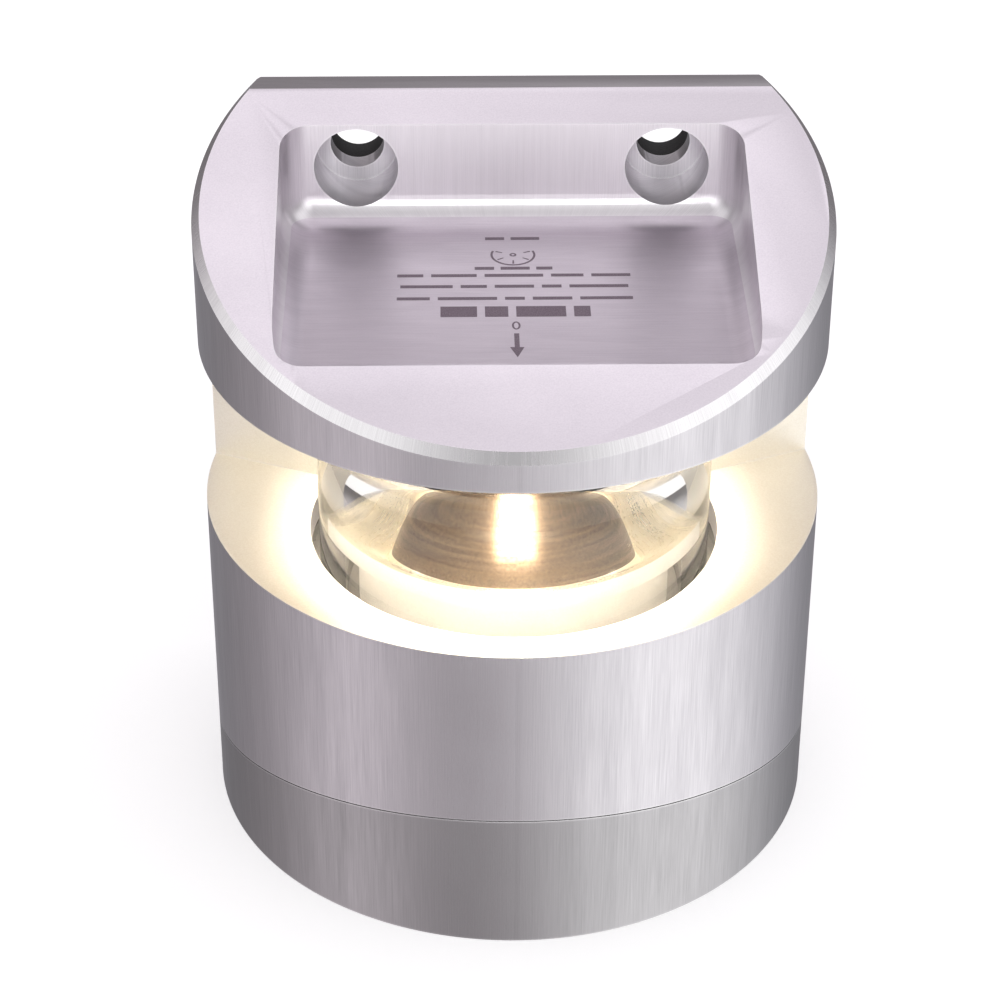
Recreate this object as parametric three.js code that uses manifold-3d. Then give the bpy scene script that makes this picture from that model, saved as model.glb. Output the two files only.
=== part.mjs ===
// Masthead navigation light: a white LED light that shows over 225 degrees ahead, in a housing
// milled from round aluminium bar and bolted to a mast by two screws in its top pocket.
//
// Millimetres. The origin is on the underside, on the axis of the round body. +Z is up,
// -Y is dead ahead, where the middle of the light's sector points, and +Y is the mounting side.

import * as THREE from 'three';
import { mergeVertices } from 'three/addons/utils/BufferGeometryUtils.js';
import Module from 'manifold-3d';

const wasm = await Module();
wasm.setup();

// ---- Driving dimensions ----------------------------------------------------------------------

const GAP = 0.3; // clearance left between pieces that touch

// Round body with a flat mounting side.
const BODY_R = 49;
const BACK_Y = 28.9;

// Top plate: its top slopes down towards the front and ends in a level land at the back.
const TOP_Z = 112.3;
const TOP_SLOPE = Math.tan(THREE.MathUtils.degToRad(17.5));
const TOP_AXIS_Z = 104.6; // height of the sloping top on the body's axis
const RIM_CHAMFER = 1.2;
const PLATE_Z = 83.3; // underside of the plate

// Base: a level deck below the plate, and a wedge-shaped cover below a sloping joint.
const DECK_Z = 54.6;
const DECK_THICKNESS = 5;
const SEAM_SLOPE = -Math.tan(THREE.MathUtils.degToRad(15));
const SEAM_AXIS_Z = 10.7;

// Optic axis, and the two screens that end the sector 22.5 degrees behind the beam.
const OPTIC_Y = -11;
const SCREEN_SLOPE = Math.tan(THREE.MathUtils.degToRad(22.5));

// Pocket for the mounting screws, cut with a ball-nosed cutter.
const POCKET = { halfWidth: 36, frontY: -33.2, rearY: 16.4, floorZ: 93, corner: 4.7 };
const MOUNT_HOLE = { x: 24.4, z: 102.4, radius: 4.25, headRadius: 6.6, seatY: 25.4 };

// Rear pad that keeps the aluminium off the mast.
const PAD = { halfWidth: 36.5, bottomZ: 7, topZ: 108.8, corner: 7, outerY: 33.8 };

// Drum lens, straight outside and bulging inwards to a waist, and the bores that it stands in.
const LENS = {
  radius: 30.7, innerRadius: 26.8, waistRadius: 20.6, bottomZ: 44.9, topZ: 85.2,
  bulgeBottomZ: 56.5, bulgeTopZ: 84, flangeRadius: 34, flangeZ: 47.6,
};
const BORE_R = 32.1; // hole in the deck, carried up through the neck
const CAVITY_R = 34.5; // room below the deck
const SEAT = { radius: 31.2, z: 85.6 }; // recess in the plate for the top of the lens
const UPPER_SEAL = { inner: 27.4, outer: 30.2, topZ: 87.6, cord: 0.95 };
const LOWER_SEAL = { ringRadius: 33.2, cord: 0.7 };

// Light source under the plate, and the horn that turns its light outwards.
const BOARD_SEAT = { radius: 25.2, z: 88.2 };
const LED_BOARD = { radius: 24.6, bottomZ: 85.9, thickness: 1.3 };
const LED = { count: 7, ringRadius: 20, step: 37.5, side: 3.5, height: 1, domeRadius: 1.3 };
const HORN = {
  bottomZ: 44.9, rimRadius: 24.6, rimZ: 58.7, lip: 0.4, dishZ: 55.7,
  footRadius: 16.6, footZ: 57, topRadius: 9.2, topZ: 85.5,
};
const HORN_SCREW = { radius: 2.5, headRadius: 4.2, headHeight: 5, topZ: 90.5, hexagon: 4 };

// Bottom cover: its round spigot carries a radial seal.
const SPIGOT = { radius: 34.2, topZ: 27.5, cupRadius: 29.6, cupFloorZ: 6 };
const COVER_SEAL = { z: 25.2, ringRadius: 33.35, cord: 0.85, grooveDepth: 2, grooveHeight: 2.5 };
const COVER_SCREWS = [
  { x: -41, y: -11, length: 22 }, { x: 41, y: -11, length: 22 },
  { x: -33, y: 20.5, length: 14 }, { x: 33, y: 20.5, length: 14 },
];
const COVER_SCREW = { radius: 2, headRadius: 3.8, headHeight: 2.1, sink: 0.2, hexagon: 2.5 };

// Electronics in the base, hung from the ring that clamps the lens.
const CLAMP_RING = { bottomZ: 41.6, topZ: 44.6, radius: 34.2, innerRadius: 21.5 };
const SPANNER_SLOT = { halfWidth: 2.5, length: 3, depth: 1.8 };
const DRIVER = { radius: 28.2, bottomZ: 24.6, thickness: 1.6 };
const STANDOFF = { ringRadius: 25, flats: 5.5, angles: [30, 150, 270] };
const DRIVER_TOP = DRIVER.bottomZ + DRIVER.thickness;
const BOARD_SCREW = { radius: 1.5, headRadius: 2.75, headHeight: 1.8, reach: 6 };
const LEAD = { x: 5, y: 4.3, radius: 0.8 };
const CAPACITOR = { radius: 5, height: 12.5, places: [[-13, -20], [0, -27]] };
const INDUCTOR = { radius: 6.5, coreRadius: 5, height: 9, flange: 1.4, x: 13, y: -20 };
const TERMINAL = { halfWidth: 5.5, y0: 5, y1: 13.5, height: 9.5, wireX: 2.6 };

// Cable entry in the middle of the mounting side.
const GLAND = { z: 34.5, threadRadius: 5, bore: 3.3, flangeRadius: 8, flange: 3.6, innerY: 19.6 };
const GLAND_SEAL = { radius: 5.3, bore: 3.1, thickness: 1.6, seatDepth: 2.2, seatRadius: 5.6 };
const NUT = { flats: 13, y0: 20.6, y1: 23.6 };

const FINE = 80; // sides of the large round faces
const MEDIUM = 40;
const SMALL = 16;

// ---- Materials -------------------------------------------------------------------------------

const finish = (color, roughness, metalness, extra = {}) =>
  new THREE.MeshStandardMaterial({ color, roughness, metalness, ...extra });

const ALUMINIUM = { color: 0xd3ccd3, roughness: 0.5, metalness: 0.85 };
const material = {
  housing: () => finish(ALUMINIUM.color, ALUMINIUM.roughness, ALUMINIUM.metalness),
  cover: () => finish(0xb0aaae, 0.45, 0.85),
  turned: () => finish(0xcfc4b4, 0.22, 0.95),
  steel: () => finish(0xb4b6b8, 0.3, 0.95),
  acrylic: () => finish(0xf6f3e8, 0.03, 0, { transparent: true, opacity: 0.35 }),
  rubber: () => finish(0x171717, 0.7, 0),
  nylon: () => finish(0x222326, 0.5, 0),
  board: () => finish(0x2d5a3c, 0.5, 0.1),
  whiteBoard: () => finish(0xece9e2, 0.5, 0),
  silicone: () => finish(0x9aa7b4, 0.8, 0),
  led: () => finish(0xffe9bd, 0.3, 0, { emissive: 0xffdca0 }),
  redWire: () => finish(0xa8201c, 0.5, 0),
  blackWire: () => finish(0x1b1b1b, 0.5, 0),
  capacitor: () => finish(0x2b3040, 0.35, 0.4),
  ferrite: () => finish(0x3b3936, 0.7, 0.1),
  terminal: () => finish(0x2f7a52, 0.5, 0),
};

// ---- Solids ----------------------------------------------------------------------------------

// Turns a three.js geometry into a solid that can be cut and joined.
function solid(geometry) {
  const loose = geometry.index ? geometry.toNonIndexed() : geometry.clone();
  loose.deleteAttribute('normal');
  loose.deleteAttribute('uv');
  const merged = mergeVertices(loose, 1e-4);
  const corners = merged.index.array;
  const triangles = [];
  for (let i = 0; i < corners.length; i += 3) {
    const [a, b, c] = corners.slice(i, i + 3);
    if (a !== b && b !== c && c !== a) triangles.push(a, b, c);
  }
  return new wasm.Manifold(new wasm.Mesh({
    numProp: 3,
    vertProperties: new Float32Array(merged.attributes.position.array),
    triVerts: new Uint32Array(triangles),
  }));
}

// Makes the named mesh of a finished solid.
function mesh(name, body, look) {
  const { vertProperties, triVerts } = body.getMesh();
  const geometry = new THREE.BufferGeometry();
  geometry.setAttribute('position', new THREE.BufferAttribute(Float32Array.from(vertProperties), 3));
  geometry.setIndex(new THREE.BufferAttribute(Uint32Array.from(triVerts), 1));
  geometry.computeVertexNormals();
  const made = new THREE.Mesh(geometry, look());
  made.name = name;
  return made;
}

// A body turned about a vertical axis at (x, y). The [radius, height] profile runs outwards
// along the bottom, up the outside and back along the top; a ring's closes on itself.
function turned(profile, { x = 0, y = 0, sides = MEDIUM, shear = 0 } = {}) {
  const points = profile.map(([r, z]) => new THREE.Vector2(r, z));
  const onAxis = profile[0][0] === 0;
  if (!onAxis) points.push(points[0].clone());
  const geometry = new THREE.LatheGeometry(points, sides).rotateX(Math.PI / 2).translate(x, y, 0);
  return solid(shear === 0 ? geometry : sheared(geometry, shear));
}

// Raises each point by slope times its y, so level faces become sloping ones.
function sheared(geometry, slope) {
  return geometry.applyMatrix4(new THREE.Matrix4().makeShear(0, 0, 0, slope, 0, 0));
}

function disc(radius, z0, z1, place = {}) {
  return turned([[0, z0], [radius, z0], [radius, z1], [0, z1]], place);
}

function ring(inner, outer, z0, z1, place = {}) {
  return turned([[inner, z0], [outer, z0], [outer, z1], [inner, z1]], place);
}

// A ring of round section, such as an O-ring.
function torus(radius, section, z, { x = 0, y = 0, sides = MEDIUM } = {}) {
  return solid(new THREE.TorusGeometry(radius, section, 6, sides).translate(x, y, z));
}

function block(x0, x1, y0, y1, z0, z1) {
  const size = [x1 - x0, y1 - y0, z1 - z0];
  return solid(new THREE.BoxGeometry(...size).translate((x0 + x1) / 2, (y0 + y1) / 2, (z0 + z1) / 2));
}

// A round bar along Y.
function crossBar(radius, y0, y1, x, z, sides = SMALL) {
  const bar = new THREE.CylinderGeometry(radius, radius, y1 - y0, sides);
  return solid(bar.translate(x, (y0 + y1) / 2, z));
}

// A hexagon bar along Y, of this width across its flats.
function hexBar(flats, length) {
  return new THREE.CylinderGeometry(flats / Math.sqrt(3), flats / Math.sqrt(3), length, 6);
}

function uprightHex(flats, x, y, z0, z1) {
  return solid(hexBar(flats, z1 - z0).rotateX(Math.PI / 2).translate(x, y, (z0 + z1) / 2));
}

function roundedRectangle(x0, x1, y0, y1, r) {
  const shape = new THREE.Shape();
  shape.moveTo(x0 + r, y0);
  shape.lineTo(x1 - r, y0);
  shape.absarc(x1 - r, y0 + r, r, -Math.PI / 2, 0);
  shape.lineTo(x1, y1 - r);
  shape.absarc(x1 - r, y1 - r, r, 0, Math.PI / 2);
  shape.lineTo(x0 + r, y1);
  shape.absarc(x0 + r, y1 - r, r, Math.PI / 2, Math.PI);
  shape.lineTo(x0, y0 + r);
  shape.absarc(x0 + r, y0 + r, r, Math.PI, 1.5 * Math.PI);
  return shape;
}

// Everything below a plane that slopes along Y and crosses the axis at height z.
function belowSlope(z, slope) {
  const far = 3 * BODY_R;
  return solid(sheared(new THREE.BoxGeometry(far, far, far).translate(0, 0, z - far / 2), slope));
}

// ---- Housing and cover -----------------------------------------------------------------------

// The bar, with its flat side, between two levels.
function bar(z0, z1) {
  return disc(BODY_R, z0, z1, { sides: FINE })
    .intersect(block(-BODY_R - 1, BODY_R + 1, -BODY_R - 1, BACK_Y, z0 - 1, z1 + 1));
}

// Everything under the sloping top, with the chamfer that runs round its rim.
function underTop() {
  const rim = [
    [0, -BODY_R], [BODY_R, -BODY_R], [BODY_R, TOP_AXIS_Z - RIM_CHAMFER],
    [BODY_R - RIM_CHAMFER, TOP_AXIS_Z], [0, TOP_AXIS_Z],
  ];
  return turned(rim, { sides: FINE, shear: TOP_SLOPE });
}

// The open sector between the deck and the plate: 225 degrees, seen from the optic axis.
function sector() {
  const far = 2 * BODY_R;
  const shape = new THREE.Shape();
  shape.moveTo(0, OPTIC_Y);
  shape.lineTo(-far, OPTIC_Y + SCREEN_SLOPE * far);
  shape.lineTo(-far, -far);
  shape.lineTo(far, -far);
  shape.lineTo(far, OPTIC_Y + SCREEN_SLOPE * far);
  const geometry = new THREE.ExtrudeGeometry(shape, { depth: PLATE_Z - DECK_Z, bevelEnabled: false });
  return solid(geometry.translate(0, 0, DECK_Z));
}

// The pocket: upright walls, with the cutter's radius in its corners and along its floor.
function pocket() {
  const { halfWidth, frontY, rearY, floorZ, corner } = POCKET;
  const inset = corner - 0.05;
  const shape = roundedRectangle(-halfWidth, halfWidth, frontY, rearY, corner);
  const depth = TOP_Z - floorZ;
  const geometry = new THREE.ExtrudeGeometry(shape, {
    depth, curveSegments: 5, bevelEnabled: true, bevelThickness: inset, bevelSize: inset,
    bevelOffset: -inset, bevelSegments: 5,
  });
  return solid(geometry.translate(0, 0, floorZ + inset));
}

function mountHole(x) {
  const hole = crossBar(MOUNT_HOLE.radius, POCKET.rearY - 2, BACK_Y + 1, x, MOUNT_HOLE.z);
  const head = crossBar(MOUNT_HOLE.headRadius, POCKET.rearY - 2, MOUNT_HOLE.seatY, x, MOUNT_HOLE.z, 24);
  return hole.add(head);
}

function housing() {
  const optic = { y: OPTIC_Y, sides: MEDIUM };
  const deckUnder = DECK_Z - DECK_THICKNESS;
  let body = bar(0, TOP_Z).intersect(underTop());
  body = body.subtract(belowSlope(SEAM_AXIS_Z + GAP / 2, SEAM_SLOPE));
  body = body.subtract(sector());
  body = body.subtract(pocket());
  for (const side of [-1, 1]) body = body.subtract(mountHole(side * MOUNT_HOLE.x));

  // Bored from below: cavity, lens bore, lens seat, O-ring groove, board seat, screw hole.
  body = body.subtract(disc(CAVITY_R, -1, deckUnder, { y: OPTIC_Y, sides: FINE }));
  body = body.subtract(disc(BORE_R, deckUnder - 1, PLATE_Z, { y: OPTIC_Y, sides: FINE }));
  body = body.subtract(disc(SEAT.radius, PLATE_Z - 1, SEAT.z, optic));
  body = body.subtract(ring(UPPER_SEAL.inner, UPPER_SEAL.outer, SEAT.z - 1, UPPER_SEAL.topZ, optic));
  body = body.subtract(disc(BOARD_SEAT.radius, SEAT.z - 1, BOARD_SEAT.z, optic));
  const screwHole = disc(HORN_SCREW.radius + GAP, BOARD_SEAT.z - 1, HORN_SCREW.topZ + GAP, {
    y: OPTIC_Y, sides: SMALL,
  });
  body = body.subtract(screwHole);

  // Cable entry, with a flat for the gland's nut on the curved wall inside.
  body = body.subtract(crossBar(GLAND.threadRadius + GAP, 10, BACK_Y + 1, 0, GLAND.z));
  body = body.subtract(crossBar(NUT.flats / 2 + 2, 10, NUT.y1 + GAP, 0, GLAND.z, MEDIUM));

  for (const { x, y, length } of COVER_SCREWS) {
    body = body.subtract(disc(COVER_SCREW.radius + GAP, -1, length + 1, { x, y, sides: SMALL }));
  }
  return body;
}

function bottomCover() {
  const { radius, topZ, cupRadius, cupFloorZ } = SPIGOT;
  const optic = { y: OPTIC_Y };
  let body = bar(0, 2 * SEAM_AXIS_Z + 10).intersect(belowSlope(SEAM_AXIS_Z - GAP / 2, SEAM_SLOPE));
  body = body.add(disc(radius, 1, topZ, optic));
  body = body.subtract(disc(cupRadius, cupFloorZ, topZ + 1, optic));
  const { z, grooveDepth, grooveHeight } = COVER_SEAL;
  const groove = ring(radius - grooveDepth, radius + 1, z - grooveHeight / 2, z + grooveHeight / 2, optic);
  body = body.subtract(groove.intersect(aboveSeam()));
  for (const { x, y } of COVER_SCREWS) body = body.subtract(countersink(x, y));
  return body;
}

// The space above the joint, so that the groove is cut in the spigot only.
function aboveSeam() {
  const everything = block(-BODY_R, BODY_R, -BODY_R - 1, BODY_R, -1, TOP_Z);
  return everything.subtract(belowSlope(SEAM_AXIS_Z, SEAM_SLOPE));
}

function countersink(x, y) {
  const { radius, headRadius, headHeight, sink } = COVER_SCREW;
  const r = radius + GAP;
  const top = headRadius + sink + GAP;
  const end = SPIGOT.topZ + 1;
  return turned([[0, -1], [top, -1], [top, 0], [r, headHeight + sink + GAP], [r, end], [0, end]], {
    x, y, sides: SMALL,
  });
}

function coverScrew({ x, y, length }) {
  const { radius, headRadius, headHeight, sink, hexagon } = COVER_SCREW;
  const body = turned([
    [0, sink], [headRadius, sink], [radius, sink + headHeight], [radius, length], [0, length],
  ], { x, y, sides: SMALL });
  return body.subtract(uprightHex(hexagon, x, y, -1, headHeight - 0.5));
}

// The pad between the flat side and the mast, with holes for the two screws and the cable.
function rearPad() {
  const { halfWidth, bottomZ, topZ, corner, outerY } = PAD;
  const shape = roundedRectangle(-halfWidth, halfWidth, bottomZ, topZ, corner);
  const { x: holeX, z: holeZ, radius: holeR } = MOUNT_HOLE;
  const holes = [[-holeX, holeZ, holeR], [holeX, holeZ, holeR], [0, GLAND.z, GLAND.flangeRadius + 2 * GAP]];
  for (const [x, z, r] of holes) {
    const hole = new THREE.Path();
    hole.absarc(x, z, r, 0, 2 * Math.PI);
    shape.holes.push(hole);
  }
  const depth = outerY - BACK_Y - GAP;
  const geometry = new THREE.ExtrudeGeometry(shape, { depth, curveSegments: 10, bevelEnabled: false });
  return solid(geometry.rotateX(Math.PI / 2).translate(0, outerY, 0));
}

// ---- Optic -----------------------------------------------------------------------------------

// The drum lens: its wall is thickest halfway up, which gathers the light towards the horizon.
// Its top runs up into the plate, and its flange lies under the deck.
function lens() {
  const { radius, innerRadius, waistRadius, bottomZ, topZ, bulgeBottomZ, bulgeTopZ } = LENS;
  const { flangeRadius, flangeZ } = LENS;
  const bulge = [];
  const steps = 12;
  for (let i = 0; i <= steps; i += 1) {
    const t = i / steps;
    const inner = innerRadius - (innerRadius - waistRadius) * Math.sin(t * Math.PI);
    bulge.push([inner, bulgeBottomZ + t * (bulgeTopZ - bulgeBottomZ)]);
  }
  const profile = [
    [innerRadius, bottomZ], [flangeRadius, bottomZ], [flangeRadius, flangeZ],
    [radius, flangeZ], [radius, topZ], [innerRadius, topZ], ...bulge.reverse(),
  ];
  return turned(profile, { y: OPTIC_Y, sides: 56 });
}

// The horn: a turned aluminium cone that stands in a shallow dish, and turns the light outwards.
function horn() {
  const { bottomZ, rimRadius, rimZ, lip, dishZ, footRadius, footZ, topRadius, topZ } = HORN;
  const dish = [];
  const steps = 6;
  const dishWidth = rimRadius - lip - (footRadius + 2 * lip);
  for (let i = 0; i <= steps; i += 1) {
    const angle = (i / steps) * Math.PI / 2;
    const inner = rimRadius - lip - dishWidth * Math.sin(angle);
    dish.push([inner, dishZ + (rimZ - dishZ) * Math.cos(angle)]);
  }
  const body = turned([[0, bottomZ], [rimRadius, bottomZ], [rimRadius, rimZ], ...dish,
    [footRadius, footZ], [topRadius, topZ], [0, topZ]], { y: OPTIC_Y });
  const screwHole = disc(HORN_SCREW.radius + GAP, bottomZ - 1, topZ + 1, { y: OPTIC_Y, sides: SMALL });
  const headHole = disc(HORN_SCREW.headRadius + GAP, bottomZ - 1, bottomZ + HORN_SCREW.headHeight + 1, {
    y: OPTIC_Y, sides: SMALL,
  });
  let drilled = body.subtract(screwHole).subtract(headHole);
  for (const side of [-1, 1]) drilled = drilled.subtract(leadHole(side, bottomZ - 1, topZ + 1));
  return drilled;
}

function leadHole(side, z0, z1) {
  return disc(LEAD.radius + 2 * GAP, z0, z1, { x: side * LEAD.x, y: OPTIC_Y + LEAD.y, sides: 12 });
}

function hornScrew() {
  const { radius, headRadius, headHeight, topZ, hexagon } = HORN_SCREW;
  const z0 = HORN.bottomZ + 0.6;
  const z1 = z0 + headHeight;
  const body = turned([
    [0, z0], [headRadius, z0], [headRadius, z1], [radius, z1], [radius, topZ], [0, topZ],
  ], { y: OPTIC_Y, sides: SMALL });
  return body.subtract(uprightHex(hexagon, 0, OPTIC_Y, z0 - 1, z0 + headHeight / 2));
}

function ledBoard() {
  const { radius, bottomZ, thickness } = LED_BOARD;
  return ring(HORN_SCREW.radius + GAP, radius, bottomZ, bottomZ + thickness, { y: OPTIC_Y });
}

function thermalPad() {
  const clear = 0.2;
  const z0 = LED_BOARD.bottomZ + LED_BOARD.thickness + clear;
  return ring(HORN_SCREW.radius + 1, LED_BOARD.radius - 1, z0, BOARD_SEAT.z - clear, { y: OPTIC_Y });
}

// One LED: a square package with a round dome that faces down onto the horn.
function led(index) {
  const { count, ringRadius, step, side, height, domeRadius } = LED;
  const packageTop = LED_BOARD.bottomZ - 0.1;
  const packageBottom = packageTop - height;
  const angle = THREE.MathUtils.degToRad((index - (count - 1) / 2) * step);
  const shell = new THREE.BoxGeometry(side, side, height).translate(0, 0, packageTop - height / 2);
  const dome = new THREE.SphereGeometry(domeRadius, 10, 6).scale(1, 1, 0.7).translate(0, 0, packageBottom);
  const place = new THREE.Matrix4().makeTranslation(0, OPTIC_Y, 0)
    .multiply(new THREE.Matrix4().makeRotationZ(angle))
    .multiply(new THREE.Matrix4().makeTranslation(0, -ringRadius, 0));
  return solid(shell.applyMatrix4(place)).add(solid(dome.applyMatrix4(place)));
}

function clampRing() {
  const { bottomZ, topZ, radius, innerRadius } = CLAMP_RING;
  let body = ring(innerRadius, radius, bottomZ, topZ, { y: OPTIC_Y });
  const { halfWidth, length, depth } = SPANNER_SLOT;
  for (const middle of [-radius, radius]) {
    body = body.subtract(block(middle - length, middle + length, OPTIC_Y - halfWidth,
      OPTIC_Y + halfWidth, bottomZ - 1, bottomZ + depth));
  }
  for (const [x, y] of standoffPlaces()) {
    body = body.subtract(disc(BOARD_SCREW.radius, bottomZ - 1, bottomZ + 2, { x, y, sides: 12 }));
  }
  return body;
}

// ---- Electronics -----------------------------------------------------------------------------

function standoffPlaces() {
  return STANDOFF.angles.map((degrees) => {
    const angle = THREE.MathUtils.degToRad(degrees);
    return [STANDOFF.ringRadius * Math.cos(angle), OPTIC_Y + STANDOFF.ringRadius * Math.sin(angle)];
  });
}

function driverBoard() {
  let body = disc(DRIVER.radius, DRIVER.bottomZ, DRIVER_TOP, { y: OPTIC_Y });
  for (const place of standoffPlaces()) {
    body = body.subtract(boardScrewHole(place, DRIVER.bottomZ - 1, DRIVER_TOP + 1));
  }
  return body;
}

function boardScrewHole([x, y], z0, z1) {
  return disc(BOARD_SCREW.radius + GAP, z0, z1, { x, y, sides: 12 });
}

// A hexagon spacer, bored from below for its screw.
function standoff(place) {
  const [x, y] = place;
  const body = uprightHex(STANDOFF.flats, x, y, DRIVER_TOP + GAP, CLAMP_RING.bottomZ - GAP);
  return body.subtract(boardScrewHole(place, DRIVER_TOP - 1, DRIVER_TOP + BOARD_SCREW.reach + 1));
}

// A slotted cheese-head screw, driven up through the board.
function boardScrew([x, y]) {
  const { radius, headRadius, headHeight, reach } = BOARD_SCREW;
  const headTop = DRIVER.bottomZ - GAP;
  const headBottom = headTop - headHeight;
  const round = 0.4;
  const tipZ = DRIVER_TOP + reach;
  const body = turned([[0, headBottom], [headRadius - round, headBottom], [headRadius, headBottom + round],
    [headRadius, headTop], [radius, headTop], [radius, tipZ], [0, tipZ]], { x, y, sides: SMALL });
  const slot = { halfWidth: 0.35, depth: 0.8 };
  return body.subtract(block(x - slot.halfWidth, x + slot.halfWidth, y - headRadius - 1,
    y + headRadius + 1, headBottom - 1, headBottom + slot.depth));
}

// A can capacitor that hangs below the board, with the groove rolled round its can.
function capacitor([x, y]) {
  const { radius, height } = CAPACITOR;
  const top = DRIVER.bottomZ - GAP;
  const groove = { depth: 0.5, from: 2, halfHeight: 0.6 };
  return turned([
    [0, top - height], [radius - 0.5, top - height], [radius, top - height + 0.5],
    [radius, top - groove.from - 2 * groove.halfHeight],
    [radius - groove.depth, top - groove.from - groove.halfHeight],
    [radius, top - groove.from], [radius, top], [0, top],
  ], { x, y, sides: 20 });
}

// A drum-cored choke.
function inductor() {
  const { radius, coreRadius, height, flange, x, y } = INDUCTOR;
  const top = DRIVER.bottomZ - GAP;
  const bottom = top - height;
  return turned([
    [0, bottom], [radius, bottom], [radius, bottom + flange], [coreRadius, bottom + flange],
    [coreRadius, top - flange], [radius, top - flange], [radius, top], [0, top],
  ], { x, y, sides: 20 });
}

// The supply terminals: two wire entries face the cable gland, with a screw over each.
function terminalBlock() {
  const { halfWidth, y0, y1, height, wireX } = TERMINAL;
  const z0 = DRIVER_TOP + GAP;
  const z1 = z0 + height;
  const entry = { halfWidth: 1.6, bottom: 1.2, top: 4.4, wall: 2 };
  const screwWell = { radius: 1.7, depth: 1.5 };
  let body = block(-halfWidth, halfWidth, y0, y1, z0, z1);
  for (const x of [-wireX, wireX]) {
    body = body.subtract(block(x - entry.halfWidth, x + entry.halfWidth, y0 + entry.wall, y1 + 1,
      z0 + entry.bottom, z0 + entry.top));
    body = body.subtract(disc(screwWell.radius, z1 - screwWell.depth, z1 + 1, {
      x, y: (y0 + y1) / 2, sides: 12,
    }));
  }
  return body;
}

// The leads from the driver board up through the horn to the LED board.
function lead(side) {
  return disc(LEAD.radius, DRIVER_TOP + GAP, LED_BOARD.bottomZ - GAP, {
    x: side * LEAD.x, y: OPTIC_Y + LEAD.y, sides: 8,
  });
}

// ---- Cable gland -----------------------------------------------------------------------------

// The gland's screwed body: its flange lies on the flat side, inside the pad.
function glandBody() {
  const { z, threadRadius, bore, flangeRadius, flange, innerY } = GLAND;
  const flangeY = BACK_Y + GAP;
  const outerY = flangeY + flange;
  const body = crossBar(threadRadius, innerY, flangeY + 1, 0, z, 24)
    .add(crossBar(flangeRadius, flangeY, outerY, 0, z, 24));
  const { seatRadius, seatDepth } = GLAND_SEAL;
  const sealSeat = crossBar(seatRadius, outerY - seatDepth, outerY + 1, 0, z, 24);
  return body.subtract(crossBar(bore, innerY - 1, outerY + 1, 0, z, 24)).subtract(sealSeat);
}

function glandSeal() {
  const { radius, bore, thickness, seatDepth } = GLAND_SEAL;
  const y0 = BACK_Y + GAP + GLAND.flange - seatDepth + GAP;
  return crossBar(radius, y0, y0 + thickness, 0, GLAND.z, 24)
    .subtract(crossBar(bore, y0 - 1, y0 + thickness + 1, 0, GLAND.z, 24));
}

function glandNut() {
  const { flats, y0, y1 } = NUT;
  const hex = solid(hexBar(flats, y1 - y0).rotateY(Math.PI / 6).translate(0, (y0 + y1) / 2, GLAND.z));
  return hex.subtract(crossBar(GLAND.threadRadius + GAP, y0 - 1, y1 + 1, 0, GLAND.z, 24));
}

// ---- Assembly --------------------------------------------------------------------------------

const light = new THREE.Group();
const optic = { y: OPTIC_Y };
const { ringRadius: coverRingR, cord: coverCord, z: coverSealZ } = COVER_SEAL;
const upperSealR = (UPPER_SEAL.inner + UPPER_SEAL.outer) / 2;
const upperSealZ = SEAT.z + GAP / 2 + UPPER_SEAL.cord - 0.1;
const lowerSealZ = (LENS.flangeZ + DECK_Z - DECK_THICKNESS) / 2;
const lowerSeal = torus(LOWER_SEAL.ringRadius, LOWER_SEAL.cord, lowerSealZ, optic);

light.add(
  mesh('housing', housing(), material.housing),
  mesh('bottom_cover', bottomCover(), material.cover),
  mesh('cover_o_ring', torus(coverRingR, coverCord, coverSealZ, optic), material.rubber),
  mesh('rear_pad', rearPad(), material.rubber),
  mesh('lens', lens(), material.acrylic),
  mesh('lens_upper_o_ring', torus(upperSealR, UPPER_SEAL.cord, upperSealZ, optic), material.rubber),
  mesh('lens_lower_o_ring', lowerSeal, material.rubber),
  mesh('lens_clamp_ring', clampRing(), material.cover),
  mesh('reflector_horn', horn(), material.turned),
  mesh('reflector_screw', hornScrew(), material.steel),
  mesh('led_board', ledBoard(), material.whiteBoard),
  mesh('thermal_pad', thermalPad(), material.silicone),
  mesh('led_lead_positive', lead(-1), material.redWire),
  mesh('led_lead_negative', lead(1), material.blackWire),
  mesh('driver_board', driverBoard(), material.board),
  mesh('inductor', inductor(), material.ferrite),
  mesh('terminal_block', terminalBlock(), material.terminal),
  mesh('cable_gland_body', glandBody(), material.nylon),
  mesh('cable_gland_seal', glandSeal(), material.rubber),
  mesh('cable_gland_nut', glandNut(), material.nylon),
);

COVER_SCREWS.forEach((place, i) => {
  light.add(mesh(`cover_screw_${i + 1}`, coverScrew(place), material.steel));
});
CAPACITOR.places.forEach((place, i) => {
  light.add(mesh(`capacitor_${i + 1}`, capacitor(place), material.capacitor));
});
for (let i = 0; i < LED.count; i += 1) light.add(mesh(`led_${i + 1}`, led(i), material.led));
standoffPlaces().forEach((place, i) => {
  light.add(mesh(`board_standoff_${i + 1}`, standoff(place), material.steel));
  light.add(mesh(`board_screw_${i + 1}`, boardScrew(place), material.steel));
});

export default light;
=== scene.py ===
import math

import bmesh
import bpy
from mathutils import Matrix, Vector


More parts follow.
